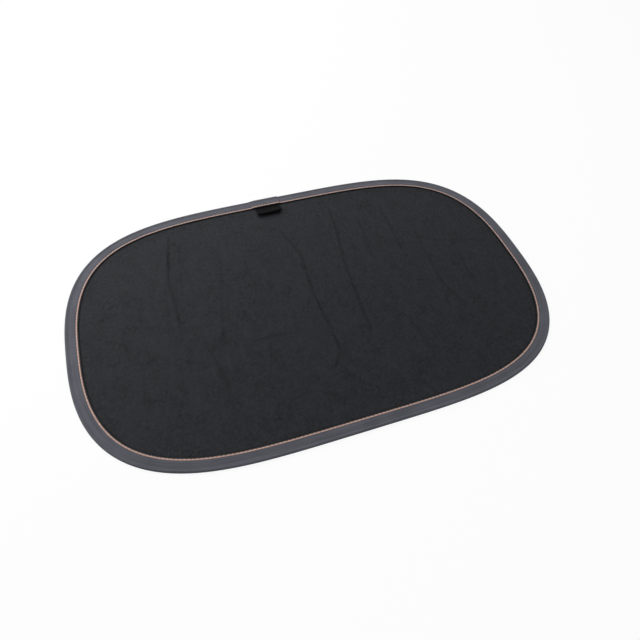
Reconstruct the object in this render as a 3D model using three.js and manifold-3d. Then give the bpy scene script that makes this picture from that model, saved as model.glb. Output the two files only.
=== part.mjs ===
// Car side window sunshade, lying flat with its cabin side up.
//
// A squared oval sheet of black mesh, backed on the window side by a clear film that clings to glass.
// A sprung steel hoop runs round its rim. A grey woven tape is folded round the hoop and the sheets'
// edge and is sewn down with one seam. A folded woven tag is caught in that seam where the tape's
// ends overlap, at the middle of the back edge.
//
// Millimetres. +X along the shade's length, +Y towards the edge with the tag, +Z up to the cabin side.
// The origin is on the surface that the shade lies on, under the middle of its outline.

import * as THREE from 'three';
import { mergeVertices } from 'three/addons/utils/BufferGeometryUtils.js';
import Module from 'manifold-3d';

const wasm = await Module();
wasm.setup();

// Outline of the bound edge: a squared oval, |x / half length|^p + |y / half depth|^q = 1
const shadeLength = 510;
const shadeDepth = 330;
const lengthPower = 4.09;
const depthPower = 2.63;

// Sprung hoop and the crimped sleeve that joins its ends
const wireDiameter = 1.5;
const hoopEndGap = 0.5;
const sleeveLength = 25;
const sleeveWall = 0.25;
const crimpClearance = 0.1;

// Mesh sheet and the clinging film under it. Inside the tape both are a little slack and lie lower.
const meshThickness = 0.35;
const filmThickness = 0.2;
const filmLift = 0.3;
const openSheetGap = 0.1;
const slackMargin = 1;
const slackWidth = 12;

// Binding tape, folded in half round the wire and the sheets' edge
const tapeThickness = 0.55;
const bindingWidth = 13.5;
const foldClearance = 0.15;
const foldTaper = 1;
const sheetEdgeClearance = 0.5;

// Where the tape's ends overlap, measured along the rim from the middle of the back edge towards -X
const joinOffset = 8.5;
const overlapMargin = 1.5;
const overlapRamp = 1;

// Seam: one thread on each face of the tape
const seamMargin = 1.4;
const threadWidth = 0.9;
const threadHeight = 0.35;

// Folded tag, its two ends caught between the tape and the mesh
const tagWidth = 30;
const tagLeaf = 0.2;
const tagLeafGap = 0.1;
const tagRoot = 4;
const tagReach = 13;
const tagRise = 2.2;
const tagFoldRadius = 0.55;
const tagClearance = 0.1;

// Creases pressed into the sheets by twisting the shade up. The middle is given as shares of the half
// length and the half depth, the turn in degrees from +X.
const creaseWidth = 8;
const creaseHeight = 0.5;
const creaseClearance = 0.15;
const creases = [
  { across: -0.55, up: 0.27, turn: -90, length: 89 },
  { across: 0.02, up: 0.1, turn: -91, length: 99 },
  { across: 0.23, up: 0.51, turn: -98, length: 80 },
  { across: 0.19, up: -0.07, turn: -94, length: 108 },
  { across: 0.35, up: 0.41, turn: -96, length: 67 },
  { across: 0.49, up: 0.42, turn: -92, length: 70 },
  { across: -0.22, up: -0.23, turn: 0, length: 49 },
];

// Fineness
const stationSpacing = 12.5;
const joinStations = 4;
const wireSides = 8;
const arcSegments = 4;

// Values worked out from the sizes above
const halfLength = shadeLength / 2;
const halfDepth = shadeDepth / 2;
const wireRadius = wireDiameter / 2;
const sleeveBore = wireRadius + crimpClearance;
const sleeveRadius = sleeveBore + sleeveWall;
const foldInner = wireRadius + foldClearance;
const foldOuter = foldInner + tapeThickness;
const joinInner = sleeveRadius + crimpClearance;
const joinOuter = joinInner + 2 * tapeThickness;
const hexagonCorner = 1 / Math.cos(Math.PI / 6);
const wireDepth = foldOuter * hexagonCorner;
const wireHeight = foldOuter;
const leafStart = wireDepth + joinOuter * hexagonCorner / 2 + foldTaper;
const sheetInset = leafStart + sheetEdgeClearance;
const filmBottom = wireHeight - (meshThickness + filmThickness) / 2;
const meshBottom = filmBottom + filmThickness;
const meshTop = meshBottom + meshThickness;
const meshLift = filmLift + filmThickness + openSheetGap;
const slackStart = bindingWidth + slackMargin;
const slackEnd = slackStart + slackWidth;
const tagThickness = 2 * tagLeaf + tagLeafGap;
const seamDepth = bindingWidth - seamMargin;
const overlapLength = Math.max(tagWidth, sleeveLength) + 2 * overlapMargin;

// Outline of the rim, run anticlockwise from the middle of the back edge
class RimOutline extends THREE.Curve {
  constructor() {
    super();
    this.arcLengthDivisions = 1440;
  }

  getPoint(t, target = new THREE.Vector3()) {
    const turn = 2 * Math.PI * t;
    const direction = new THREE.Vector2(-Math.sin(turn), Math.cos(turn));
    let near = 0;
    let far = halfLength + halfDepth;
    while (far - near > 1e-9) {
      const middle = (near + far) / 2;
      const inside = outlineValue(direction.x * middle, direction.y * middle) < 1;
      near = inside ? middle : near;
      far = inside ? far : middle;
    }
    return target.set(direction.x * near, direction.y * near, 0);
  }
}

function outlineValue(x, y) {
  return Math.abs(x / halfLength) ** lengthPower + Math.abs(y / halfDepth) ** depthPower;
}

function inwardNormal(point) {
  const slopeX = lengthPower / halfLength * Math.abs(point.x / halfLength) ** (lengthPower - 1);
  const slopeY = depthPower / halfDepth * Math.abs(point.y / halfDepth) ** (depthPower - 1);
  return new THREE.Vector3(-Math.sign(point.x) * slopeX, -Math.sign(point.y) * slopeY, 0).normalize();
}

const rim = new RimOutline();
const rimLength = rim.getLength();

// A point on the rim by its way along it from the middle of the join, moved in from the edge
function rimPoint(along, depth) {
  const share = (joinOffset + along) / rimLength;
  const point = rim.getPointAt(share - Math.floor(share));
  return point.addScaledVector(inwardNormal(point), depth);
}

function evenSteps(first, last, count) {
  return Array.from({ length: count }, (_, i) => first + (last - first) * i / (count - 1));
}

// Places along the rim at which every piece that follows it has a section
const joinEnd = overlapLength / 2;
const freeStart = joinEnd + overlapRamp;
const freeStations = Math.round((rimLength - 2 * freeStart) / stationSpacing);
const stations = [
  ...evenSteps(-joinEnd, joinEnd, joinStations),
  ...evenSteps(freeStart, rimLength - freeStart, freeStations),
];

// One closed body with shared corners, its faces pointing out
function closedGeometry(geometry) {
  geometry.deleteAttribute('normal');
  geometry.deleteAttribute('uv');
  const merged = mergeVertices(geometry, 1e-5);
  merged.computeVertexNormals();
  return merged;
}

function solidOf(geometry) {
  const closed = closedGeometry(geometry);
  const vertProperties = new Float32Array(closed.attributes.position.array);
  const triVerts = new Uint32Array(closed.index.array);
  return new wasm.Manifold(new wasm.Mesh({ numProp: 3, vertProperties, triVerts }));
}

function geometryOf(solid) {
  const mesh = solid.getMesh();
  const geometry = new THREE.BufferGeometry();
  geometry.setAttribute('position', new THREE.BufferAttribute(mesh.vertProperties, 3));
  geometry.setIndex(new THREE.BufferAttribute(mesh.triVerts, 1));
  geometry.computeVertexNormals();
  return geometry;
}

// A band that follows the whole rim. Its section is a closed list of (depth from the edge, height),
// and may differ where the tape's ends overlap. The lathe gives a round band with the same faces,
// and each of its corners is then set on the rim.
function rimBand(sectionAt) {
  const sections = { free: sectionAt(false).reverse(), join: sectionAt(true).reverse() };
  const cornerCount = sections.free.length;
  const closed = [...sections.free, sections.free[0]];
  const profile = closed.map((corner) => new THREE.Vector2(shadeLength - corner.x, corner.y));
  const geometry = new THREE.LatheGeometry(profile, stations.length);
  const position = geometry.attributes.position;
  for (let i = 0; i < position.count; i += 1) {
    const station = Math.floor(i / profile.length) % stations.length;
    const section = station < joinStations ? sections.join : sections.free;
    const corner = section[i % profile.length % cornerCount];
    const point = rimPoint(stations[station], corner.x);
    position.setXYZ(i, point.x, point.y, corner.y);
  }
  return closedGeometry(geometry);
}

// Corners of a section round the wire's centre, from one angle to another, in degrees
function arcCorners(radius, from, to, count) {
  return evenSteps(from, to, count).map((degrees) => {
    const angle = THREE.MathUtils.degToRad(degrees);
    const corner = new THREE.Vector2(Math.cos(angle), Math.sin(angle)).multiplyScalar(radius);
    return corner.add(new THREE.Vector2(wireDepth, wireHeight));
  });
}

// The fold round the wire, from over it to under it: a hexagon without the corner that points inward
function foldCorners(radiusToFlats) {
  return arcCorners(radiusToFlats * hexagonCorner, 60, 300, 5);
}

// Faces of the folded tape. Where its ends overlap, the fold and the upper leaf have two layers, and
// the upper leaf rises over the tag's ends. The ends of the lower leaf butt.
function bindingFaces(inJoin) {
  const layers = inJoin ? 2 : 1;
  const foldInside = inJoin ? joinInner : foldInner;
  const upperInside = meshTop + (inJoin ? tagThickness + tagClearance : 0);
  return {
    foldInside,
    foldOutside: foldInside + layers * tapeThickness,
    upperInside,
    upper: upperInside + layers * tapeThickness,
    lower: filmBottom - tapeThickness,
  };
}

// The folded tape: up over the wire, round the edge and back under it, with a leaf on each face.
// The surface below presses the fold flat.
function bindingSection(inJoin) {
  const faces = bindingFaces(inJoin);
  const corners = [
    new THREE.Vector2(bindingWidth, faces.upper),
    new THREE.Vector2(leafStart, faces.upper),
    ...foldCorners(faces.foldOutside),
    new THREE.Vector2(leafStart, faces.lower),
    new THREE.Vector2(bindingWidth, faces.lower),
    new THREE.Vector2(bindingWidth, filmBottom),
    new THREE.Vector2(leafStart, filmBottom),
    ...foldCorners(faces.foldInside).reverse(),
    new THREE.Vector2(leafStart, faces.upperInside),
    new THREE.Vector2(bindingWidth, faces.upperInside),
  ];
  corners.forEach((corner) => {
    corner.y = Math.max(corner.y, 0);
  });
  return corners;
}

// A thread on one face of the tape, over the seam
function threadSection(face, height) {
  const half = threadWidth / 2;
  const corners = [
    new THREE.Vector2(seamDepth + half, face),
    new THREE.Vector2(seamDepth + half / 2, face + height),
    new THREE.Vector2(seamDepth - half / 2, face + height),
    new THREE.Vector2(seamDepth - half, face),
  ];
  return height > 0 ? corners : corners.reverse();
}

function needleThreadGeometry() {
  return rimBand((inJoin) => threadSection(bindingFaces(inJoin).upper, threadHeight));
}

function bobbinThreadGeometry() {
  return rimBand((inJoin) => threadSection(bindingFaces(inJoin).lower, -threadHeight));
}

// Round wire along the whole rim, cut through where its two ends meet in the sleeve
function hoopWireGeometry() {
  const turns = 360 * (1 - 1 / wireSides);
  const band = rimBand(() => arcCorners(wireRadius, 0, turns, wireSides));
  const cut = new THREE.BoxGeometry(hoopEndGap, wireDiameter * 2, wireDiameter * 2);
  placeAtJoin(cut, wireDepth, wireHeight);
  return geometryOf(solidOf(band).subtract(solidOf(cut)));
}

// Moves a piece made round the origin, with its length along X, to the middle of the join
function placeAtJoin(geometry, depth, height) {
  const place = rimPoint(0, depth);
  const inward = inwardNormal(rimPoint(0, 0));
  geometry.rotateZ(Math.atan2(inward.y, inward.x) + Math.PI / 2);
  geometry.translate(place.x, place.y, height);
}

// Extrudes a shape drawn across the rim (x inward, y up) along the rim, centred on the join
function acrossJoin(shape, length, depth, height) {
  const options = { depth: length, bevelEnabled: false, curveSegments: arcSegments };
  const geometry = new THREE.ExtrudeGeometry(shape, options);
  geometry.translate(0, 0, -length / 2);
  geometry.rotateX(Math.PI / 2);
  geometry.rotateZ(-Math.PI / 2);
  placeAtJoin(geometry, depth, height);
  return closedGeometry(geometry);
}

function hoopSleeveGeometry() {
  const shape = new THREE.Shape().absarc(0, 0, sleeveRadius, 0, 2 * Math.PI);
  shape.holes.push(new THREE.Path().absarc(0, 0, sleeveBore, 0, 2 * Math.PI));
  return acrossJoin(shape, sleeveLength, wireDepth, wireHeight);
}

// The tag's strip, folded at its free edge: both ends lie flat in the seam and the fold stands up
function labelTagGeometry() {
  const foldAt = tagRoot + tagReach - tagFoldRadius;
  const foldHeight = tagRise + tagFoldRadius;
  const bend = (tagRoot + foldAt) / 2;
  const quarter = Math.PI / 2;
  const innerRadius = tagFoldRadius - tagLeaf;
  const upperInside = tagThickness - tagLeaf;
  const shape = new THREE.Shape();
  shape.moveTo(0, 0);
  shape.lineTo(tagRoot, 0);
  shape.quadraticCurveTo(bend, 0, foldAt, foldHeight - tagFoldRadius);
  shape.absarc(foldAt, foldHeight, tagFoldRadius, -quarter, quarter);
  shape.quadraticCurveTo(bend, tagThickness, tagRoot, tagThickness);
  shape.lineTo(0, tagThickness);
  shape.lineTo(0, upperInside);
  shape.lineTo(tagRoot, upperInside);
  shape.quadraticCurveTo(bend, upperInside, foldAt, foldHeight + innerRadius);
  shape.absarc(foldAt, foldHeight, innerRadius, quarter, -quarter, true);
  shape.quadraticCurveTo(bend, tagLeaf, tagRoot, tagLeaf);
  shape.lineTo(0, tagLeaf);
  shape.closePath();
  return acrossJoin(shape, tagWidth, bindingWidth - tagRoot, meshTop);
}

// Long low ridges where the sheet was creased, as stretched octahedra half sunk in a level
function creaseRidges(level, height) {
  return creases.map((crease) => {
    const ridge = new THREE.OctahedronGeometry(1);
    ridge.scale(crease.length / 2, creaseWidth / 2 * height / creaseHeight, height);
    ridge.rotateZ(THREE.MathUtils.degToRad(crease.turn));
    ridge.translate(crease.across * halfLength, crease.up * halfDepth, level);
    return solidOf(ridge);
  });
}

// A sheet's border, held in the tape's fold at one height and sloping to the open part's height
function heldBorderGeometry(heldBottom, openBottom, thickness) {
  return rimBand(() => [
    new THREE.Vector2(slackEnd, openBottom),
    new THREE.Vector2(slackEnd, openBottom + thickness),
    new THREE.Vector2(slackStart, heldBottom + thickness),
    new THREE.Vector2(sheetInset, heldBottom + thickness),
    new THREE.Vector2(sheetInset, heldBottom),
    new THREE.Vector2(slackStart, heldBottom),
  ]);
}

function openPartGeometry(bottom, thickness) {
  const corners = stations.map((along) => rimPoint(along, slackEnd));
  const shape = new THREE.Shape(corners.map((p) => new THREE.Vector2(p.x, p.y)));
  const flat = new THREE.ExtrudeGeometry(shape, { depth: thickness, bevelEnabled: false });
  return flat.translate(0, 0, bottom);
}

// A whole sheet, with the creases raised in its open part
function sheetGeometry(heldBottom, openBottom, thickness, ridgeHeight) {
  const border = solidOf(heldBorderGeometry(heldBottom, openBottom, thickness));
  let sheet = border.add(solidOf(openPartGeometry(openBottom, thickness)));
  creaseRidges(openBottom + thickness, ridgeHeight).forEach((ridge) => {
    sheet = sheet.add(ridge);
  });
  creaseRidges(openBottom, ridgeHeight).forEach((ridge) => {
    sheet = sheet.subtract(ridge);
  });
  return geometryOf(sheet);
}

const finishes = {
  wovenTape: { color: 0x63626a, roughness: 0.85, metalness: 0 },
  blackMesh: { color: 0x2c2d30, roughness: 0.7, metalness: 0 },
  clearFilm: { color: 0xdfe4e6, roughness: 0.15, metalness: 0, transparent: true, opacity: 0.35 },
  springSteel: { color: 0x8c9094, roughness: 0.35, metalness: 1 },
  crimpSteel: { color: 0xa9adb0, roughness: 0.3, metalness: 1 },
  seamThread: { color: 0xcf8a6c, roughness: 0.6, metalness: 0 },
  wovenTag: { color: 0x1b1b1d, roughness: 0.6, metalness: 0 },
};

function piece(name, geometry, finish) {
  const mesh = new THREE.Mesh(geometry, new THREE.MeshStandardMaterial(finish));
  mesh.name = name;
  return mesh;
}

const film = sheetGeometry(filmBottom, filmLift, filmThickness, creaseHeight - creaseClearance);
const mesh = sheetGeometry(meshBottom, meshLift, meshThickness, creaseHeight);
const sunshade = new THREE.Group();
sunshade.add(
  piece('edge_binding', rimBand(bindingSection), finishes.wovenTape),
  piece('shade_mesh', mesh, finishes.blackMesh),
  piece('cling_film', film, finishes.clearFilm),
  piece('hoop_wire', hoopWireGeometry(), finishes.springSteel),
  piece('hoop_sleeve', hoopSleeveGeometry(), finishes.crimpSteel),
  piece('needle_thread', needleThreadGeometry(), finishes.seamThread),
  piece('bobbin_thread', bobbinThreadGeometry(), finishes.seamThread),
  piece('label_tag', labelTagGeometry(), finishes.wovenTag),
);

export default sunshade;
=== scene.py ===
import bisect
import itertools
import math

import bmesh
import bpy
from bpy.props import FloatProperty, FloatVectorProperty, IntProperty, PointerProperty
from bpy.types import Operator, Panel, PropertyGroup
from mathutils import Matrix, Vector, noise
from mathutils.geometry import interpolate_bezier


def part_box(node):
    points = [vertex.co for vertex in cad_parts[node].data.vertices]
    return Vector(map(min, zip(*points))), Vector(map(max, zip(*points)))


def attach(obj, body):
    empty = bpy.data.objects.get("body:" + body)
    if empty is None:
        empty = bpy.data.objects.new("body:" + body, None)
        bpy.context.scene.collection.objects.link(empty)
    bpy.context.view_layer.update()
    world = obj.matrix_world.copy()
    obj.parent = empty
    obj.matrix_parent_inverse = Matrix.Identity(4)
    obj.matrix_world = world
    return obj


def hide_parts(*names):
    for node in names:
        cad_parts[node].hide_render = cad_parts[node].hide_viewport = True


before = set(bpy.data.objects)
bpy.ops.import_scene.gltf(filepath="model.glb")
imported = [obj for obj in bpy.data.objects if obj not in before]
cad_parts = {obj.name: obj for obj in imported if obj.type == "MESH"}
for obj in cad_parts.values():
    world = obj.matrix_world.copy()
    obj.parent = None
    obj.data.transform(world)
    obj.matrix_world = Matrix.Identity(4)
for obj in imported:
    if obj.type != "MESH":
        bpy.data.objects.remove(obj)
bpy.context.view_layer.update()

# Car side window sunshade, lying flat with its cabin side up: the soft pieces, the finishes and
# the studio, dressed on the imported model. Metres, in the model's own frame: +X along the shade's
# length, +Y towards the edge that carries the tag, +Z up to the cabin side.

bl_info = {
    "name": "Window Sunshade",
    "version": (1, 0, 0),
    "blender": (4, 5, 0),
    "location": "View3D > Sidebar > Sunshade",
    "description": "Models a car side window sunshade: bound edge, seam, mesh, film and tag",
    "category": "Add Mesh",
}

MM = 0.001
BINDING_LOW, BINDING_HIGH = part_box("edge_binding")
MESH_LOW, MESH_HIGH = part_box("shade_mesh")
FILM_LOW, FILM_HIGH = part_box("cling_film")
WIRE_LOW, WIRE_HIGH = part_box("hoop_wire")
SLEEVE_LOW, SLEEVE_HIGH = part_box("hoop_sleeve")
TAG_LOW, TAG_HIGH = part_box("label_tag")

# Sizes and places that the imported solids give
HALF_LENGTH = BINDING_HIGH.x
HALF_DEPTH = -BINDING_LOW.y
WIRE_RADIUS = (WIRE_HIGH.z - WIRE_LOW.z) / 2
WIRE_HEIGHT = (WIRE_HIGH.z + WIRE_LOW.z) / 2
WIRE_DEPTH = HALF_LENGTH - WIRE_HIGH.x + WIRE_RADIUS
SLEEVE_RADIUS = (SLEEVE_HIGH.z - SLEEVE_LOW.z) / 2
SLEEVE_HALF = (SLEEVE_HIGH.x - SLEEVE_LOW.x) / 2
JOIN_X = (TAG_LOW.x + TAG_HIGH.x) / 2
TAG_HALF = (TAG_HIGH.x - TAG_LOW.x) / 2
TAG_ROOT_DEPTH = HALF_DEPTH - TAG_HIGH.y
SHEET_INSET = HALF_LENGTH - MESH_HIGH.x
HELD_TOP = MESH_HIGH.z
HELD_MIDDLE = FILM_HIGH.z
HELD_BOTTOM = 2 * WIRE_HEIGHT - HELD_TOP
OPEN_MIDDLE = MESH_LOW.z
OPEN_BOTTOM = FILM_LOW.z


class ShadeSizes(PropertyGroup):
    """Sizes of the sunshade's soft pieces."""

    length_power: FloatProperty(
        name="Length power", description="Squareness of the outline's ends", default=4.09)
    depth_power: FloatProperty(
        name="Depth power", description="Squareness of the outline's long edges", default=2.63)
    tape_thickness: FloatProperty(
        name="Tape thickness", description="Thickness of the woven tape",
        default=0.5 * MM, unit="LENGTH")
    layer_pitch: FloatProperty(
        name="Layer pitch", description="Way from the middle of one layer of tape to the next",
        default=0.55 * MM, unit="LENGTH")
    binding_width: FloatProperty(
        name="Binding width", description="Width of each leaf, from the edge inward",
        default=13.5 * MM, unit="LENGTH")
    seam_margin: FloatProperty(
        name="Seam margin", description="Way from the tape's inner edge to the middle of the seam",
        default=1.55 * MM, unit="LENGTH")
    overlap: FloatProperty(
        name="Overlap", description="How far the tape's ends overlap along the edge",
        default=33 * MM, unit="LENGTH")
    mesh_thickness: FloatProperty(
        name="Mesh thickness", description="Thickness of the mesh sheet",
        default=0.32 * MM, unit="LENGTH")
    film_thickness: FloatProperty(
        name="Film thickness", description="Thickness of the clear film",
        default=0.17 * MM, unit="LENGTH")
    stitch_count: IntProperty(
        name="Stitches", description="Number of stitches in the seam", default=359)
    thread_width: FloatProperty(
        name="Thread width", description="Width of the thread as it lies on the tape",
        default=1.6 * MM, unit="LENGTH")
    thread_height: FloatProperty(
        name="Thread height", description="Height of the thread as it lies on the tape",
        default=0.55 * MM, unit="LENGTH")
    tag_thickness: FloatProperty(
        name="Tag thickness", description="Thickness of the tag's woven strip",
        default=0.22 * MM, unit="LENGTH")


class ShadeColours(PropertyGroup):
    """Colours of the sunshade's finishes."""

    tape: FloatVectorProperty(
        name="Tape", description="Colour of the woven tape", subtype="COLOR",
        default=(0.102, 0.104, 0.126))
    mesh: FloatVectorProperty(
        name="Mesh", description="Colour of the mesh", subtype="COLOR",
        default=(0.0202, 0.0212, 0.0248))
    film: FloatVectorProperty(
        name="Film", description="Tint of the clear film", subtype="COLOR",
        default=(0.74, 0.78, 0.79))
    thread: FloatVectorProperty(
        name="Thread", description="Colour of the seam's thread", subtype="COLOR",
        default=(0.72, 0.46, 0.37))
    tag: FloatVectorProperty(
        name="Tag", description="Colour of the woven tag", subtype="COLOR",
        default=(0.0045, 0.0045, 0.005))
    wire: FloatVectorProperty(
        name="Wire", description="Colour of the spring steel", subtype="COLOR",
        default=(0.27, 0.29, 0.30))
    sleeve: FloatVectorProperty(
        name="Sleeve", description="Colour of the crimped sleeve", subtype="COLOR",
        default=(0.40, 0.42, 0.44))


def shade_sizes():
    return bpy.context.scene.sunshade_sizes


def shade_colours():
    return bpy.context.scene.sunshade_colours


# Shapes that several pieces follow


def ease(value, start, end):
    """0 up to start, 1 from end on, and a smooth climb between them."""
    share = min(max((value - start) / (end - start), 0.0), 1.0)
    return share * share * (3.0 - 2.0 * share)


def even_steps(first, last, count):
    """Count numbers from first to last, both included."""
    return [first + (last - first) * i / (count - 1) for i in range(count)]


class Rim:
    """The bound edge's outline, run anticlockwise from the middle of the back edge."""

    STEPS = 2880
    HALVINGS = 36

    def __init__(self, sizes):
        self.length_power = sizes.length_power
        self.depth_power = sizes.depth_power
        self.radii = [self.radius(math.tau * i / self.STEPS) for i in range(self.STEPS + 1)]
        points = [self.toward(math.tau * i / self.STEPS) * r for i, r in enumerate(self.radii)]
        steps = [(b - a).length for a, b in itertools.pairwise(points)]
        self.ways = list(itertools.accumulate(steps, initial=0.0))
        self.length = self.ways[-1]

    @staticmethod
    def toward(turn):
        return Vector((-math.sin(turn), math.cos(turn), 0.0))

    def radius(self, turn):
        """How far the outline is from the middle in one direction."""
        way = self.toward(turn)
        near, far = 0.0, HALF_LENGTH + HALF_DEPTH
        for _ in range(self.HALVINGS):
            middle = (near + far) / 2
            value = abs(way.x * middle / HALF_LENGTH) ** self.length_power
            value += abs(way.y * middle / HALF_DEPTH) ** self.depth_power
            near, far = (middle, far) if value < 1 else (near, middle)
        return near

    def nearby_radius(self, turn):
        """The same, read between the outline's stored steps."""
        place = turn % math.tau / math.tau * self.STEPS
        step = min(int(place), self.STEPS - 1)
        return self.radii[step] + (self.radii[step + 1] - self.radii[step]) * (place - step)

    def inward(self, point):
        """The direction into the shade, square to the outline."""
        x, y = point.x / HALF_LENGTH, point.y / HALF_DEPTH
        slope_x = self.length_power * abs(x) ** (self.length_power - 1) / HALF_LENGTH
        slope_y = self.depth_power * abs(y) ** (self.depth_power - 1) / HALF_DEPTH
        outward = Vector((math.copysign(slope_x, x), math.copysign(slope_y, y), 0.0))
        return -outward.normalized()

    def station(self, along):
        """The point on the outline this far along it, and the way inward there."""
        along %= self.length
        step = min(max(bisect.bisect_right(self.ways, along) - 1, 0), self.STEPS - 1)
        share = (along - self.ways[step]) / (self.ways[step + 1] - self.ways[step])
        turn = math.tau * (step + share) / self.STEPS
        point = self.toward(turn) * self.radius(turn)
        return point, self.inward(point)

    def from_join(self, along):
        """The shortest way along the rim from the middle of the join."""
        return (along + JOIN_X + self.length / 2) % self.length - self.length / 2


class Fold:
    """The folded tape's middle layer: where it runs in section and along the rim."""

    WIRE_ROOM = 0.15 * MM
    BEAD_DEGREES = (60, 300)
    BEAD_STEPS = 11
    LEAF_STEPS = 10
    BEND_STEPS = 5
    BEND_END = 4.6 * MM
    BEND_HANDLE = 0.9 * MM
    SWELL_END = BEND_END + 1 * MM
    LEAF_CROWN = 0.20 * MM
    EDGE_FLARE = 0.30 * MM
    STITCH_PINCH = 0.10 * MM
    STITCH_REACH = 1.3 * MM
    RIPPLE = 0.16 * MM
    RIPPLE_SIZE = 14 * MM
    JOIN_RAMP = 5 * MM
    CUT_STEP = 1 * MM
    FLOOR_GAP = 0.02 * MM
    PRESSED_SHARE = 0.32
    PRESSED_LEVELS = (0.35 * MM, 0.8 * MM)
    SLEEVE_ROOM = 0.1 * MM
    TAG_RAMP = (3 * MM, 9 * MM)

    def __init__(self, rim, sizes):
        self.rim = rim
        self.sizes = sizes
        self.pitch = rim.length / sizes.stitch_count
        self.seam_depth = sizes.binding_width - sizes.seam_margin
        self.upper = HELD_TOP + sizes.layer_pitch / 2
        self.lower = HELD_BOTTOM - sizes.layer_pitch / 2
        self.bead_radius = WIRE_RADIUS + self.WIRE_ROOM + sizes.layer_pitch / 2
        self.swell = SLEEVE_RADIUS + self.SLEEVE_ROOM - WIRE_RADIUS - self.WIRE_ROOM
        self.tag_rise = 2 * sizes.tag_thickness + self.WIRE_ROOM
        self.section = self.section_points()
        self.outward = self.section_normals()

    def bead_point(self, degrees):
        """A point of the bead round the wire, drawn out to the outline on its outer side."""
        angle = math.radians(degrees)
        outer = WIRE_DEPTH - self.sizes.tape_thickness / 2
        reach = outer if math.cos(angle) < 0 else self.bead_radius
        across = Vector((math.cos(angle) * reach, math.sin(angle) * self.bead_radius))
        return Vector((WIRE_DEPTH, WIRE_HEIGHT)) + across

    def bend(self, leaf_end, degrees):
        """The points between a leaf and the bead."""
        bead_end = self.bead_point(degrees)
        side = math.copysign(1.0, math.sin(math.radians(degrees)))
        slant = math.radians(self.BEAD_DEGREES[0])
        tangent = Vector((math.sin(slant), -math.cos(slant) * side))
        from_leaf = leaf_end - Vector((self.BEND_HANDLE, 0.0))
        from_bead = bead_end + tangent * self.BEND_HANDLE
        return interpolate_bezier(leaf_end, from_leaf, from_bead, bead_end, self.BEND_STEPS)[1:-1]

    def section_points(self):
        """From the upper leaf's inner edge, round the wire, to the lower leaf's inner edge."""
        depths = even_steps(self.sizes.binding_width, self.BEND_END, self.LEAF_STEPS)
        upper = [Vector((depth, self.upper)) for depth in depths]
        lower = [Vector((depth, self.lower)) for depth in reversed(depths)]
        turns = even_steps(*self.BEAD_DEGREES, self.BEAD_STEPS)
        bead = [self.bead_point(degrees) for degrees in turns]
        over = self.bend(upper[-1], self.BEAD_DEGREES[0])
        under = self.bend(lower[0], self.BEAD_DEGREES[1])
        return upper + over + bead + under[::-1] + lower

    def section_normals(self):
        normals = []
        for i in range(len(self.section)):
            before = self.section[max(i - 1, 0)]
            after = self.section[min(i + 1, len(self.section) - 1)]
            run = (after - before).normalized()
            normals.append(Vector((run.y, -run.x)))
        return normals

    def layer_lift(self, run):
        """How far the tape's start, lying over its end, stands off the single layer's place."""
        half = self.sizes.overlap / 2
        return self.sizes.layer_pitch * (1 - ease(run - half, half, half + self.JOIN_RAMP))

    def near_join(self, along, half):
        """1 within this far of the join's middle, and 0 beyond the ramp."""
        return 1 - ease(abs(self.rim.from_join(along)), half, half + self.JOIN_RAMP)

    def leaf_rise(self, along, depth, point):
        """How far the upper leaf stands over its flat place: the tag's lift, crown and ripples."""
        rise = self.tag_rise * self.near_join(along, TAG_HALF) * ease(depth, *self.TAG_RAMP)
        crown = (depth - self.BEND_END) / (self.seam_depth - self.BEND_END)
        rise += self.LEAF_CROWN * math.sin(math.pi * min(max(crown, 0.0), 1.0))
        between = 0.5 - 0.5 * math.cos(math.tau * along / self.pitch)
        reach = (depth - self.seam_depth) / self.STITCH_REACH
        rise += self.STITCH_PINCH * between * math.exp(-reach * reach)
        rise += self.EDGE_FLARE * ease(depth, self.seam_depth, self.sizes.binding_width)
        ripple = 0.5 + 0.5 * noise.noise(point / self.RIPPLE_SIZE)
        return rise + self.RIPPLE * ripple * ease(depth, self.BEND_END, self.seam_depth)

    def place(self, run, row):
        """The middle layer's point this far along the tape, and its thickness as a share."""
        along = run - self.sizes.overlap / 2 - JOIN_X
        rim_point, inward = self.rim.station(along)
        depth, height = self.section[row]
        outward = self.outward[row]
        bead = 1 - ease(depth, WIRE_DEPTH + self.bead_radius, self.SWELL_END)
        lift = self.layer_lift(run)
        offset = lift + self.swell * bead * self.near_join(along, SLEEVE_HALF)
        pressed = self.near_join(along, self.sizes.overlap / 2)
        pressed *= 1 - ease(height, *self.PRESSED_LEVELS)
        share = 1 - (1 - self.PRESSED_SHARE) * pressed
        below = pressed if lift == 0 else 0
        if row < self.LEAF_STEPS:
            height += self.leaf_rise(along, depth, rim_point)
        thickness = self.sizes.tape_thickness * share
        height = max(height + outward.y * offset, self.FLOOR_GAP + thickness * (0.5 + below))
        place = rim_point + inward * (depth + outward.x * offset)
        return Vector((place.x, place.y, height)), share

    def seam_lift(self, along):
        """How far the doubled tape lifts the seam: a ramp down one side, a step off the other."""
        way = self.rim.from_join(along)
        half = self.sizes.overlap / 2
        ramp = self.JOIN_RAMP if way > 0 else self.CUT_STEP
        return self.sizes.layer_pitch * (1 - ease(abs(way), half, half + ramp))


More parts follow.
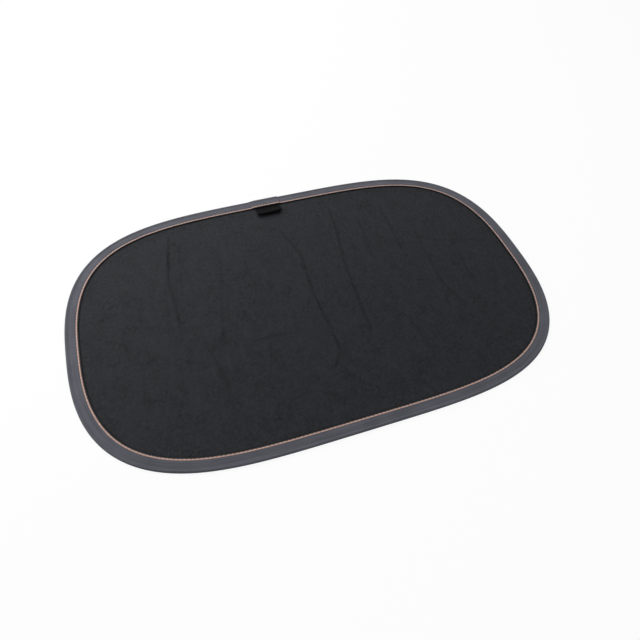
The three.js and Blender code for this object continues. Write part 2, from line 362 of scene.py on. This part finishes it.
class Slack:
    """The open sheets' relief: soft waves, fine wrinkles and the creases from being twisted up."""

    START = 14.5 * MM
    END = 27 * MM
    WAVE = 0.55 * MM
    WAVE_SIZE = 75 * MM
    WRINKLE = 0.26 * MM
    WRINKLE_SIZE = (11 * MM, 46 * MM)
    WRINKLE_SLICE = 2.7
    DRIFT = 0.5
    DRIFT_SPREAD = 3
    DRIFT_SLICE = 0.03
    CREASE_HEIGHT = 0.42 * MM
    CREASE_WIDTH = 5 * MM
    CREASE_LINE = 1.5 * MM
    CREASE_FADE = 12 * MM

    # Each crease's strength, and the points of its line in millimetres
    CREASES = (
        (1.0, ((-131, 140), (-143, 70), (-141, -1))),
        (1.0, ((64, 132), (59, 82), (52, 43), (47, -23), (45, -65))),
        (0.9, ((-7, 112), (7, 64), (3, 4), (5, -35), (6, -75), (-10, -98))),
        (0.7, ((92, 105), (85, 30))),
        (0.6, ((126, 108), (123, 30))),
        (0.8, ((-82, -37), (-31, -38))),
        (0.6, ((-57, -40), (-72, -90))),
        (0.6, ((-122, -18), (-111, -78), (-112, -108))),
        (0.5, ((-57, 83), (-55, 21))),
        (0.5, ((-79, 100), (-100, -10), (-107, -40))),
        (0.5, ((-41, 63), (3, 66))),
        (0.5, ((-94, -89), (-52, -93))),
        (0.5, ((-206, 8), (-184, -36))),
        (0.6, ((150, 62), (146, -20), (158, -70))),
        (0.5, ((186, 40), (181, -35))),
        (0.5, ((88, -50), (96, -104))),
    )

    def __init__(self, rim):
        self.rim = rim
        self.legs = []
        for strength, points in self.CREASES:
            ends = [Vector(point) * MM for point in points]
            for i, (a, b) in enumerate(itertools.pairwise(ends)):
                self.legs.append((strength, a, b, i == 0, i == len(ends) - 2))

    def nearest_crease(self, x, y):
        """How strong the nearest crease is here, and how far off."""
        point = Vector((x, y))
        best, best_way = 0.0, math.inf
        for strength, a, b, first, last in self.legs:
            leg = b - a
            share = (point - a).dot(leg) / leg.length_squared
            held = min(max(share, 0.0), 1.0)
            way = (point - a - leg * held).length
            fade = 1.0
            if first:
                fade = min(fade, ease(share * leg.length, 0.0, self.CREASE_FADE))
            if last:
                fade = min(fade, ease((1 - share) * leg.length, 0.0, self.CREASE_FADE))
            if way < best_way:
                best, best_way = strength * fade, way
        return best, best_way

    def relief(self, x, y):
        """The height of the waves, wrinkles and creases, and how much of a crease line is here,
        which the mesh's finish paints as shade.
        """
        wave = 0.5 + 0.5 * noise.noise(Vector((x, y, 0.0)) / self.WAVE_SIZE)
        wide, tall = self.WRINKLE_SIZE
        drift_place = Vector((x, y, self.DRIFT_SLICE)) / (self.DRIFT_SPREAD * wide)
        drift = self.DRIFT * noise.noise(drift_place)
        wrinkle_place = Vector((x / wide + drift, y / tall, self.WRINKLE_SLICE))
        wrinkle = 0.5 + 0.5 * noise.noise(wrinkle_place)
        strength, way = self.nearest_crease(x, y)
        ridge = self.CREASE_HEIGHT * strength * math.exp(-way / self.CREASE_WIDTH)
        line = strength * math.exp(-(way / self.CREASE_LINE) ** 2)
        return self.WAVE * wave + self.WRINKLE * wrinkle + ridge, line

    def spread(self, u, v):
        """A square grid's point, spread to the sheets' outline: its place and depth inside it."""
        flat = Vector((u * (HALF_LENGTH - SHEET_INSET), v * (HALF_DEPTH - SHEET_INSET), 0.0))
        border = max(abs(u), abs(v))
        if border == 0:
            return flat, HALF_DEPTH
        turn = math.atan2(-flat.x, flat.y)
        radius = self.rim.nearby_radius(turn)
        toward = self.rim.toward(turn)
        slant = -toward.dot(self.rim.inward(toward * radius))
        reach = (radius - SHEET_INSET / slant) / (flat.length / border)
        place = flat * (1 + (reach - 1) * border ** 2)
        return place, (radius - place.length) * slant


# Meshes


def add_piece(name, bm, material, replaced):
    """Makes a bmesh a named piece that rides on the one body and replaces a packed soft solid."""
    mesh = bpy.data.meshes.new(name)
    bm.to_mesh(mesh)
    bm.free()
    mesh.materials.append(material)
    mesh.shade_smooth()
    piece = bpy.data.objects.new(name, mesh)
    bpy.context.scene.collection.objects.link(piece)
    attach(piece, "root")
    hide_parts(replaced)
    return piece


def cloth_grid(columns, rows):
    """A unit grid with room for its own pattern coordinates."""
    bm = bmesh.new()
    bm.loops.layers.uv.new("Cloth")
    bmesh.ops.create_grid(bm, x_segments=columns, y_segments=rows, size=0.5, calc_uvs=True)
    return bm


def scale_pattern(bm, length, width):
    """Turns the grid's 0 to 1 pattern coordinates into metres along and across the cloth."""
    layer = bm.loops.layers.uv["Cloth"]
    for face in bm.faces:
        for loop in face.loops:
            u, v = loop[layer].uv
            loop[layer].uv = (u * length, v * width)


def thicken(piece, thickness, shares=None):
    """Gives a cloth its thickness, half on each face, and a share of it where shares are given."""
    solid = piece.modifiers.new("Thickness", "SOLIDIFY")
    solid.thickness = thickness
    solid.offset = 0.0
    solid.use_even_offset = True
    if shares:
        group = piece.vertex_groups.new(name="Thickness")
        for index, share in enumerate(shares):
            group.add([index], share, "REPLACE")
        solid.vertex_group = group.name


COLUMNS_PER_STITCH = 3


def binding_mesh(rim, fold, sizes):
    """The tape as one long strip, wound round the rim from its cut end on top to its end below."""
    total = rim.length + sizes.overlap
    columns = round(COLUMNS_PER_STITCH * total / fold.pitch)
    rows = len(fold.section) - 1
    bm = cloth_grid(columns, rows)
    width = sum((b - a).length for a, b in itertools.pairwise(fold.section))
    scale_pattern(bm, total, width)
    shares = []
    for vertex in bm.verts:
        run = (vertex.co.x + 0.5) * total
        row = round((vertex.co.y + 0.5) * rows)
        vertex.co, share = fold.place(run, row)
        shares.append(share)
    return bm, shares, (width, total)


THREAD_SINK = 0.16 * MM
THREAD_RISE = 0.10 * MM
THREAD_STEPS = 6
THREAD_SIDES = 6
HOLE_WIDTH_SHARE = 0.80
MERGE_DISTANCE = 0.001 * MM


def stitch_mesh(rim, fold, sizes, face, bulge):
    """One thread along the seam, arching between its holes. Bulge is 1 up or -1 down."""
    bm = cloth_grid(sizes.stitch_count * THREAD_STEPS, THREAD_SIDES)
    scale_pattern(bm, rim.length, sizes.thread_width * math.pi)
    for vertex in bm.verts:
        along = (vertex.co.x + 0.5) * rim.length
        angle = (vertex.co.y + 0.5) * math.tau
        point, inward = rim.station(along)
        arch = abs(math.sin(math.pi * along / fold.pitch)) ** 0.5
        surface = face(along, point)
        centre = surface + bulge * (THREAD_SINK * (arch - 1) + THREAD_RISE * arch)
        width = sizes.thread_width / 2 * (HOLE_WIDTH_SHARE + (1 - HOLE_WIDTH_SHARE) * arch)
        height = sizes.thread_height / 2
        place = point + inward * (fold.seam_depth + math.cos(angle) * width)
        level = centre + math.sin(angle) * height
        vertex.co = Vector((place.x, place.y, max(level, fold.FLOOR_GAP)))
    bmesh.ops.remove_doubles(bm, verts=bm.verts, dist=MERGE_DISTANCE)
    bmesh.ops.recalc_face_normals(bm, faces=bm.faces)
    return bm


def sheet_mesh(slack, grid, held, opened):
    """A sheet that is flat between the tape's leaves and slack inside them."""
    bm = cloth_grid(*grid)
    line_layer = bm.verts.layers.float.new("crease")
    depth_layer = bm.verts.layers.float.new("depth")
    for vertex in bm.verts:
        place, depth = slack.spread(2 * vertex.co.x, 2 * vertex.co.y)
        loose = ease(depth, slack.START, slack.END)
        relief, line = slack.relief(place.x, place.y)
        vertex.co = Vector((place.x, place.y, held + (opened + relief - held) * loose))
        # The crease line and the depth are the masks of the mesh finish's painted shade in the
        # creases and its painted shadow by the edge.
        vertex[line_layer] = line * loose
        vertex[depth_layer] = depth
    layer = bm.loops.layers.uv["Cloth"]
    for face in bm.faces:
        for loop in face.loops:
            loop[layer].uv = loop.vert.co.xy
    return bm


class TagStrip:
    """The folded tag: its two ends held in the seam, its free fold lifted off the mesh."""

    HELD = 4 * MM
    HELD_GAP = 0.30 * MM
    HELD_POINTS = 4
    PAST_SOLID = 0.6 * MM
    FREE_LEVELS = (2.0 * MM, 3.45 * MM)
    LEAF_HANDLE = 4 * MM
    LEAF_SAGS = (0.9 * MM, 0.5 * MM)
    LEAF_POINTS = 10
    LOOP_POINTS = 9
    COLUMNS = 24
    MESH_GAP = 0.01 * MM
    FREE_END = 16 * MM
    TILT = 0.16
    CURL = 0.10
    BOW = 0.5 * MM

    @classmethod
    def section(cls):
        """The strip as (way inward from its ends, height): one end, the loop and the other end."""
        fold_at = TAG_HIGH.y - TAG_LOW.y + cls.PAST_SOLID
        low_end, high_end = (Vector((fold_at, level)) for level in cls.FREE_LEVELS)
        low_root, high_root = (Vector((cls.HELD, level)) for level in (0, cls.HELD_GAP))
        low_back, high_back = (Vector((cls.LEAF_HANDLE, sag)) for sag in cls.LEAF_SAGS)
        handle = Vector((cls.LEAF_HANDLE, 0))
        lower = interpolate_bezier(
            low_root, low_root + handle, low_end - low_back, low_end, cls.LEAF_POINTS)
        upper = interpolate_bezier(
            high_end, high_end - high_back, high_root + handle, high_root, cls.LEAF_POINTS)
        radius = (high_end.y - low_end.y) / 2
        middle = (low_end + high_end) / 2
        turns = even_steps(-math.pi / 2, math.pi / 2, cls.LOOP_POINTS)[1:-1]
        loop = [middle + Vector((math.cos(turn), math.sin(turn))) * radius for turn in turns]
        ends = even_steps(0, cls.HELD, cls.HELD_POINTS)[:-1]
        start = [Vector((way, 0)) for way in ends]
        finish = [Vector((way, cls.HELD_GAP)) for way in reversed(ends)]
        return start + lower + loop + upper + finish

    @classmethod
    def mesh(cls, rim, sizes):
        """The strip as a cloth, one corner of its fold a little higher, and its flat size."""
        section = cls.section()
        rows = len(section) - 1
        bm = cloth_grid(cls.COLUMNS, rows)
        width = sum((b - a).length for a, b in itertools.pairwise(section))
        scale_pattern(bm, 2 * TAG_HALF, width)
        ground = HELD_TOP + sizes.tag_thickness / 2 + cls.MESH_GAP
        for vertex in bm.verts:
            side = 2 * vertex.co.x
            inset, height = section[round((vertex.co.y + 0.5) * rows)]
            point, inward = rim.station(side * TAG_HALF - JOIN_X)
            free = ease(inset, cls.HELD, cls.FREE_END)
            lift = 1 + free * (cls.CURL * side * side - cls.TILT * side)
            place = point + inward * (TAG_ROOT_DEPTH + inset - cls.BOW * free * side * side)
            vertex.co = Vector((place.x, place.y, ground + height * lift))
        return bm, (2 * TAG_HALF, width)


# Finishes


class Wire:
    """One output of a node. Sums written on it add their Math nodes."""

    def __init__(self, nodes, socket):
        self.nodes = nodes
        self.socket = socket

    def math(self, operation, *values):
        return self.nodes.node("ShaderNodeMath", {"operation": operation}, dict(enumerate(values)))

    def __add__(self, other):
        return self.math("ADD", self, other)

    __radd__ = __add__

    def __sub__(self, other):
        return self.math("SUBTRACT", self, other)

    def __mul__(self, other):
        return self.math("MULTIPLY", self, other)

    __rmul__ = __mul__

    def larger(self, other):
        return self.math("MAXIMUM", self, other)

    def sine(self):
        return self.math("SINE", self)

    def size(self):
        return self.math("ABSOLUTE", self)


class ShaderNodes:
    """The nodes of a material or of the world, which are all made and linked here."""

    def __init__(self, tree):
        self.tree = tree

    def feed(self, socket, value):
        if isinstance(value, Wire):
            self.tree.links.new(value.socket, socket)
        else:
            socket.default_value = value

    def node(self, kind, settings=None, inputs=None, output=0):
        """Adds a node: its settings first, then the values or links of its sockets."""
        node = self.tree.nodes.new(kind)
        for name, value in (settings or {}).items():
            setattr(node, name, value)
        for key, value in (inputs or {}).items():
            self.feed(node.inputs[key], value)
        return Wire(self, node.outputs[output])

    def mix_shaders(self, factor, first, second):
        return self.node("ShaderNodeMixShader", None, {0: factor, 1: first, 2: second})

    def seen(self):
        """1 for rays that show the background: from the camera, a reflection or a clear piece."""
        camera, glossy, clear = (
            self.node("ShaderNodeLightPath", output=f"Is {kind} Ray")
            for kind in ("Camera", "Glossy", "Transmission"))
        return camera.larger(glossy).larger(clear)


class Finish(ShaderNodes):
    """A material under way: its nodes and its Principled shader."""

    def __init__(self, name, roughness, **constants):
        self.material = bpy.data.materials.new(name)
        self.material.use_nodes = True
        super().__init__(self.material.node_tree)
        self.shader = self.tree.nodes["Principled BSDF"]
        self.set("Roughness", roughness)
        for socket, value in constants.items():
            self.set(socket.replace("_", " "), value)

    def set(self, socket, value):
        self.feed(self.shader.inputs[socket], value)

    def place(self):
        return self.node("ShaderNodeTexCoord", output="Object")

    def split(self, vector):
        return [self.node("ShaderNodeSeparateXYZ", None, {0: vector}, output) for output in "XYZ"]

    def join(self, x, y, z=0.0):
        return self.node("ShaderNodeCombineXYZ", None, {"X": x, "Y": y, "Z": z})

    def cloth(self):
        """Metres along and across the cloth."""
        return self.split(self.node("ShaderNodeUVMap", {"uv_map": "Cloth"}))[:2]

    def noise(self, vector, scale, detail=2.0, roughness=0.5):
        inputs = {"Vector": vector, "Scale": scale, "Detail": detail, "Roughness": roughness}
        return self.node("ShaderNodeTexNoise", None, inputs)

    def blend(self, factor, first, second):
        """A colour between two others."""
        colours = [value if isinstance(value, Wire) else (*value, 1.0) for value in (first, second)]
        inputs = {"Factor": factor, 6: colours[0], 7: colours[1]}
        return self.node("ShaderNodeMix", {"data_type": "RGBA"}, inputs, 2)

    def attribute(self, name):
        return self.node("ShaderNodeAttribute", {"attribute_name": name}, None, "Fac")

    def ramp(self, value, start, end):
        """A smooth climb from 0 at start to 1 at end."""
        inputs = {"Value": value, "From Min": start, "From Max": end}
        return self.node("ShaderNodeMapRange", {"interpolation_type": "SMOOTHSTEP"}, inputs)

    def veins(self, vector, scale, width, patch_scale):
        """Short thin lines that wander where one noise crosses its middle, broken up by another."""
        patch_start, patch_end = 0.46, 0.60
        away = (self.noise(vector, scale) - 0.5).size()
        patch = self.ramp(self.noise(vector, patch_scale), patch_start, patch_end)
        return self.ramp(away, width, 0.0) * patch

    def bump(self, height, distance):
        inputs = {"Height": height, "Distance": distance}
        self.set("Normal", self.node("ShaderNodeBump", None, inputs))


def shaded(colour, factor):
    """A colour made lighter or darker."""
    return tuple(min(part * factor, 1.0) for part in colour)


def turns_per(pitch):
    """The turn per metre of a wave that repeats at this pitch."""
    return math.tau / pitch


def tape_finish():
    """Grey woven tape: fine ribs along it, a closer weft across, streaks of uneven yarn and painted
    shade along its inner edge.
    """
    colour = shade_colours().tape
    rib_pitch, weft_pitch = 0.9 * MM, 0.55 * MM
    streak_along, streak_across = 12, 900
    blotch_scale = 38.0
    edge_shade_start, edge_shade_full = 0.9 * MM, 0.5 * MM
    dark, light, edge_shade_factor = 0.66, 1.34, 0.3
    relief = 0.09 * MM
    finish = Finish(
        "woven_tape", 0.8, Sheen_Weight=0.12, Sheen_Roughness=0.5, Specular_IOR_Level=0.3)
    along, across = finish.cloth()
    rib = (across * turns_per(rib_pitch)).sine()
    weft = (along * turns_per(weft_pitch) + rib * 0.8).sine()
    weave = 0.5 + 0.3 * rib + 0.2 * weft
    streak = finish.noise(finish.join(along * streak_along, across * streak_across), 1.0, 3.0)
    blotch = finish.noise(finish.place(), blotch_scale, 3.0)
    tone = 0.30 * weave + 1.5 * streak + 1.0 * blotch - 0.9
    # Painted shade along the tape's inner selvedge, where the tape's edge stands over the mesh.
    selvedge = finish.ramp(across, edge_shade_start, edge_shade_full)
    cloth = finish.blend(tone, shaded(colour, dark), shaded(colour, light))
    finish.set("Base Color", finish.blend(selvedge, cloth, shaded(colour, edge_shade_factor)))
    finish.set("Roughness", 0.72 + 0.16 * streak)
    finish.bump(weave + 1.5 * streak, relief)
    return finish.material


def mesh_finish():
    """Fine black knit with wrinkles and fine strokes, with painted shade along its creases and a
    painted shadow by the bound edge.
    """
    colour = shade_colours().mesh
    edge = shade_sizes().binding_width
    pitch = 1.3 * MM
    mottle_scale, fine_scale = 60.0, 260.0
    wrinkle_along, wrinkle_across = 110, 48
    stroke_long, stroke_short = 170, 800
    shadow_start, shadow_full = edge + 2.2 * MM, edge + 0.4 * MM
    dark, light, painted_shade_factor = 0.55, 1.45, 0.12
    relief = 0.24 * MM
    finish = Finish("black_mesh", 0.6, Specular_IOR_Level=0.1)
    place = finish.place()
    x, y, _ = finish.split(place)
    column = (x * turns_per(pitch)).sine()
    row = (y * turns_per(pitch) + x * turns_per(2 * pitch)).sine()
    knit = 0.5 + 0.25 * column + 0.25 * row
    mottle = finish.noise(place, mottle_scale, 4.0, 0.6)
    wrinkle = finish.noise(finish.join(x * wrinkle_along, y * wrinkle_across), 1.0, 4.0, 0.62)
    fine = finish.noise(place, fine_scale, 3.0, 0.6)
    veins = finish.veins(place, 80.0, 0.035, 33.0) + finish.veins(place, 150.0, 0.06, 47.0) * 0.7
    strokes = finish.noise(
        finish.join((x + 0.6 * y) * stroke_long, (y - 0.6 * x) * stroke_short), 1.0)
    strokes += finish.noise(
        finish.join((x - 0.8 * y) * stroke_short, (y + 0.8 * x) * stroke_long), 1.0)
    # Crease lines and veins are painted shade in the grooves of the creases.
    line = finish.attribute("crease") * (2.2 * fine + 1.4 * mottle - 0.95)
    # The wrinkle, fine and stroke noises also raise the bump, so the cloth is painted darker where
    # they sink: partly painted shade, partly random tone.
    tone = 0.30 * knit + 0.8 * mottle + 0.8 * wrinkle + 0.9 * fine + 1.2 * strokes - 2.1
    cloth = finish.blend(tone, shaded(colour, dark), shaded(colour, light))
    crease_shaded = finish.blend(line * 0.7 + veins * 0.42, cloth, shaded(colour, painted_shade_factor))
    # Painted shadow of the bound edge on the mesh beside it.
    shadow = finish.ramp(finish.attribute("depth"), shadow_start, shadow_full)
    finish.set("Base Color", finish.blend(shadow * 0.9, crease_shaded, shaded(colour, painted_shade_factor)))
    finish.set("Roughness", 0.44 + 0.26 * mottle)
    height = 0.25 * knit + 2.0 * wrinkle + 0.9 * fine + 1.1 * strokes - 1.2 * line - 0.9 * veins
    finish.bump(height, relief)
    return finish.material


def film_finish():
    """Clear soft film, glossy, with the faint ripple of a sheet that has been rolled up."""
    colour = shade_colours().film
    ripple_scale, smear_scale = 45.0, 12.0
    dark, light = 0.9, 1.08
    relief = 0.5 * MM
    finish = Finish("clear_film", 0.1, Alpha=0.35, Specular_IOR_Level=0.5)
    place = finish.place()
    ripple = finish.noise(place, ripple_scale, 3.0)
    smear = finish.noise(place, smear_scale)
    finish.set("Base Color", finish.blend(smear, shaded(colour, dark), shaded(colour, light)))
    finish.set("Roughness", 0.06 + 0.12 * smear)
    finish.set("Alpha", 0.30 + 0.10 * ripple)
    finish.bump(ripple, relief)
    return finish.material


def thread_finish():
    """Twisted thread: its plies wind round it and catch the light between them."""
    colour = shade_colours().thread
    twist_pitch = shade_sizes().thread_width
    fibre_along, fibre_around = 900, 2600
    dark, light = 0.62, 1.22
    relief = 0.12 * MM
    finish = Finish(
        "seam_thread", 0.55, Sheen_Weight=0.2, Sheen_Roughness=0.4, Specular_IOR_Level=0.4)
    along, around = finish.cloth()
    ply = ((along + around * 0.6) * turns_per(twist_pitch)).sine() * 0.5 + 0.5
    fibre = finish.noise(finish.join(along * fibre_along, around * fibre_around), 1.0)
    tone = 0.6 * ply + 0.4 * fibre
    finish.set("Base Color", finish.blend(tone, shaded(colour, dark), shaded(colour, light)))
    finish.set("Roughness", 0.45 + 0.2 * fibre)
    finish.bump(ply + 0.3 * fibre, relief)
    return finish.material


def tag_finish():
    """Black satin weave with a slightly raised selvedge along both sides, bare of any lettering."""
    colour = shade_colours().tag
    warp_pitch, weft_pitch = 0.42 * MM, 0.36 * MM
    selvedge_width, selvedge_step = 1.6 * MM, 0.4 * MM
    slub_along, slub_across = 90, 1500
    dark, light = 0.6, 2.2
    relief = 0.07 * MM
    finish = Finish("woven_tag", 0.5, Specular_IOR_Level=0.02)
    along, across = finish.cloth()
    warp = (along * turns_per(warp_pitch)).sine()
    weft = (across * turns_per(weft_pitch) + warp * 1.2).sine()
    weave = 0.5 + 0.25 * warp + 0.25 * weft
    inner = TAG_HALF - selvedge_width
    edge = finish.ramp((along - TAG_HALF).size(), inner, inner + selvedge_step)
    slub = finish.noise(finish.join(along * slub_along, across * slub_across), 1.0, 3.0)
    tone = 0.45 * weave + 0.30 * slub + 0.25 * edge
    finish.set("Base Color", finish.blend(tone, shaded(colour, dark), shaded(colour, light)))
    finish.set("Roughness", 0.42 + 0.2 * slub)
    finish.bump(weave + 0.8 * edge, relief)
    return finish.material


def steel_finish(name, colour, roughness):
    """Drawn steel with a fine grain and a little tarnish."""
    grain_scale, tarnish_scale = 2400.0, 90.0
    dark, light = 0.75, 1.2
    relief = 0.01 * MM
    finish = Finish(name, roughness, Metallic=1.0)
    place = finish.place()
    grain = finish.noise(place, grain_scale)
    tarnish = finish.noise(place, tarnish_scale, 4.0)
    finish.set("Base Color", finish.blend(tarnish, shaded(colour, dark), shaded(colour, light)))
    finish.set("Roughness", roughness - 0.08 + 0.16 * grain)
    finish.bump(grain, relief)
    return finish.material


# Pieces


class SUNSHADE_OT_sheets(Operator):
    """Model the mesh and the clear film under it"""

    bl_idname = "sunshade.sheets"
    bl_label = "Mesh and film"
    MESH_GRID = (250, 160)
    FILM_GRID = (150, 96)

    def execute(self, context):
        sizes = shade_sizes()
        slack = Slack(Rim(sizes))
        half_mesh = (HELD_TOP - HELD_MIDDLE) / 2
        half_film = (HELD_MIDDLE - HELD_BOTTOM) / 2
        bm = sheet_mesh(slack, self.MESH_GRID, HELD_MIDDLE + half_mesh, OPEN_MIDDLE + half_mesh)
        area = sum(face.calc_area() for face in bm.faces)
        mesh = add_piece("mesh_panel", bm, mesh_finish(), "shade_mesh")
        thicken(mesh, sizes.mesh_thickness)
        bm = sheet_mesh(slack, self.FILM_GRID, HELD_BOTTOM + half_film, OPEN_BOTTOM + half_film)
        film = add_piece("film", bm, film_finish(), "cling_film")
        thicken(film, sizes.film_thickness)
        return {"FINISHED"}


class SUNSHADE_OT_binding(Operator):
    """Wind the woven tape round the hoop and the sheets' edge"""

    bl_idname = "sunshade.binding"
    bl_label = "Bound edge"

    def execute(self, context):
        sizes = shade_sizes()
        rim = Rim(sizes)
        bm, shares, flat = binding_mesh(rim, Fold(rim, sizes), sizes)
        binding = add_piece("binding", bm, tape_finish(), "edge_binding")
        thicken(binding, sizes.tape_thickness, shares)
        return {"FINISHED"}


class SUNSHADE_OT_stitching(Operator):
    """Sew the seam: the thread on the cabin side and the one under it"""

    bl_idname = "sunshade.stitching"
    bl_label = "Seam"

    def execute(self, context):
        sizes = shade_sizes()
        rim = Rim(sizes)
        fold = Fold(rim, sizes)
        half = sizes.tape_thickness / 2

        def top_face(along, point):
            rise = fold.leaf_rise(along, fold.seam_depth, point) + fold.seam_lift(along)
            return fold.upper + half + rise

        def under_face(along, point):
            return fold.lower - half - fold.seam_lift(along)

        thread = thread_finish()
        top = stitch_mesh(rim, fold, sizes, top_face, 1)
        add_piece("seam_top", top, thread, "needle_thread")
        under = stitch_mesh(rim, fold, sizes, under_face, -1)
        add_piece("seam_under", under, thread, "bobbin_thread")
        return {"FINISHED"}


class SUNSHADE_OT_tag(Operator):
    """Fold the bare woven tag into the seam"""

    bl_idname = "sunshade.tag"
    bl_label = "Folded tag"

    def execute(self, context):
        sizes = shade_sizes()
        bm, flat = TagStrip.mesh(Rim(sizes), sizes)
        tag = add_piece("tag", bm, tag_finish(), "label_tag")
        thicken(tag, sizes.tag_thickness)
        return {"FINISHED"}


class SUNSHADE_OT_hoop(Operator):
    """Finish the sprung hoop and its sleeve, which the tape hides"""

    bl_idname = "sunshade.hoop"
    bl_label = "Hoop and sleeve"

    def execute(self, context):
        colours = shade_colours()
        steels = {
            "hoop_wire": steel_finish("spring_steel", colours.wire, 0.35),
            "hoop_sleeve": steel_finish("crimp_steel", colours.sleeve, 0.30),
        }
        for name, steel in steels.items():
            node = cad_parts[name]
            if not node.material_slots:
                raise RuntimeError(f"{name} has no material slot")
            node.material_slots[0].material = steel
        return {"FINISHED"}


# Studio

CAMERA_TARGET = Vector((-1.845, -32.373, 1.5)) * MM
CAMERA_DISTANCE = 573.12 * MM
CAMERA_ELEVATION = 0.9356
CAMERA_AZIMUTH = -0.3757
CAMERA_ROLL = 0.0600
CAMERA_LENS = 30.681
CAMERA_SENSOR = 36.0

# Each soft light's name, place, the point it faces, its side, power and tint
SOFTBOXES = (
    ("key", (-0.75, 0.45, 0.6), (-0.1, 0.0, 0.0), 0.7, 4.9, (1.0, 0.99, 0.98)),
    ("back", (-0.1, 1.0, 0.8), (0.0, 0.1, 0.0), 0.9, 5.2, (0.99, 0.99, 1.0)),
    ("fill", (0.9, -0.9, 1.4), (0.0, 0.0, 0.0), 1.4, 2.5, (0.98, 0.99, 1.0)),
)
WHITE = (1.0, 1.0, 1.0, 1.0)
AMBIENT = 0.28
FLOOR_SIZE = 4.0
FLOOR_COLOUR = (0.82, 0.82, 0.82, 1.0)
FLOOR_ROUGHNESS = 0.9
FLOOR_GLOW = 1.04
FLOOR_GLOW_SHARE = 0.88


def add_camera():
    """The photograph's viewpoint: a close camera, a little left of the front and well above."""
    elevation, azimuth = CAMERA_ELEVATION, CAMERA_AZIMUTH
    level = math.cos(elevation)
    back = Vector((math.sin(azimuth) * level, -math.cos(azimuth) * level, math.sin(elevation)))
    right = Vector((math.cos(azimuth), math.sin(azimuth), 0.0))
    upright = Matrix((right, back.cross(right), back)).transposed().to_4x4()
    data = bpy.data.cameras.new("camera")
    data.sensor_width = CAMERA_SENSOR
    data.lens = CAMERA_LENS
    camera = bpy.data.objects.new("camera", data)
    place = Matrix.Translation(CAMERA_TARGET + back * CAMERA_DISTANCE)
    camera.matrix_world = place @ upright @ Matrix.Rotation(CAMERA_ROLL, 4, "Z")
    bpy.context.scene.collection.objects.link(camera)
    bpy.context.scene.camera = camera


def add_softbox(name, place, target, size, power, tint):
    """A square soft light that faces a point."""
    data = bpy.data.lights.new(name, "AREA")
    data.shape = "SQUARE"
    data.size = size
    data.energy = power
    data.color = tint
    light = bpy.data.objects.new(name, data)
    light.location = place
    light.rotation_euler = (Vector(place) - Vector(target)).to_track_quat("Z", "Y").to_euler()
    bpy.context.scene.collection.objects.link(light)


def set_world():
    """White where it is seen, and a plain ambient light otherwise."""
    world = bpy.data.worlds.new("studio")
    world.use_nodes = True
    nodes = ShaderNodes(world.node_tree)
    background = world.node_tree.nodes["Background"]
    nodes.feed(background.inputs["Color"], WHITE)
    nodes.feed(background.inputs["Strength"], AMBIENT)
    ambient = Wire(nodes, background.outputs[0])
    white = nodes.node("ShaderNodeBackground", None, {"Color": WHITE})
    mixed = nodes.mix_shaders(nodes.seen(), ambient, white)
    nodes.feed(world.node_tree.nodes["World Output"].inputs["Surface"], mixed)
    bpy.context.scene.world = world


def floor_material():
    """Matt white that glows where it is seen, so that only a faint shadow shows."""
    finish = Finish("floor", FLOOR_ROUGHNESS, Specular_IOR_Level=0.0)
    finish.set("Base Color", FLOOR_COLOUR)
    matt = Wire(finish, finish.shader.outputs[0])
    glow = finish.node("ShaderNodeEmission", None, {"Strength": FLOOR_GLOW})
    mixed = finish.mix_shaders(finish.seen() * FLOOR_GLOW_SHARE, matt, glow)
    finish.feed(finish.tree.nodes["Material Output"].inputs["Surface"], mixed)
    return finish.material


class SUNSHADE_OT_studio(Operator):
    """Set up the pale floor, the soft lights, the background and the camera"""

    bl_idname = "sunshade.studio"
    bl_label = "Studio"

    def execute(self, context):
        bm = bmesh.new()
        bmesh.ops.create_grid(bm, x_segments=1, y_segments=1, size=FLOOR_SIZE)
        mesh = bpy.data.meshes.new("floor")
        bm.to_mesh(mesh)
        bm.free()
        mesh.materials.append(floor_material())
        floor = bpy.data.objects.new("floor", mesh)
        context.scene.collection.objects.link(floor)
        add_camera()
        set_world()
        for softbox in SOFTBOXES:
            add_softbox(*softbox)
        context.scene.view_settings.view_transform = "Standard"
        return {"FINISHED"}


class SUNSHADE_PT_sidebar(Panel):
    """Sizes, colours and steps of the sunshade"""

    bl_idname = "SUNSHADE_PT_sidebar"
    bl_label = "Window Sunshade"
    bl_space_type = "VIEW_3D"
    bl_region_type = "UI"
    bl_category = "Sunshade"

    def draw(self, context):
        for group in (context.scene.sunshade_sizes, context.scene.sunshade_colours):
            box = self.layout.box()
            for name in group.bl_rna.properties.keys():
                if name not in {"rna_type", "name"}:
                    box.prop(group, name)
        for operator in OPERATORS:
            self.layout.operator(operator.bl_idname)


OPERATORS = (
    SUNSHADE_OT_hoop,
    SUNSHADE_OT_sheets,
    SUNSHADE_OT_tag,
    SUNSHADE_OT_binding,
    SUNSHADE_OT_stitching,
    SUNSHADE_OT_studio,
)
CLASSES = (ShadeSizes, ShadeColours, *OPERATORS, SUNSHADE_PT_sidebar)


def register():
    for cls in CLASSES:
        bpy.utils.register_class(cls)
    bpy.types.Scene.sunshade_sizes = PointerProperty(type=ShadeSizes)
    bpy.types.Scene.sunshade_colours = PointerProperty(type=ShadeColours)


def unregister():
    del bpy.types.Scene.sunshade_colours
    del bpy.types.Scene.sunshade_sizes
    for cls in reversed(CLASSES):
        bpy.utils.unregister_class(cls)


def main():
    register()
    bpy.ops.sunshade.hoop()
    bpy.ops.sunshade.sheets()
    bpy.ops.sunshade.tag()
    bpy.ops.sunshade.binding()
    bpy.ops.sunshade.stitching()
    bpy.ops.sunshade.studio()


if __name__ == "__main__":
    main()
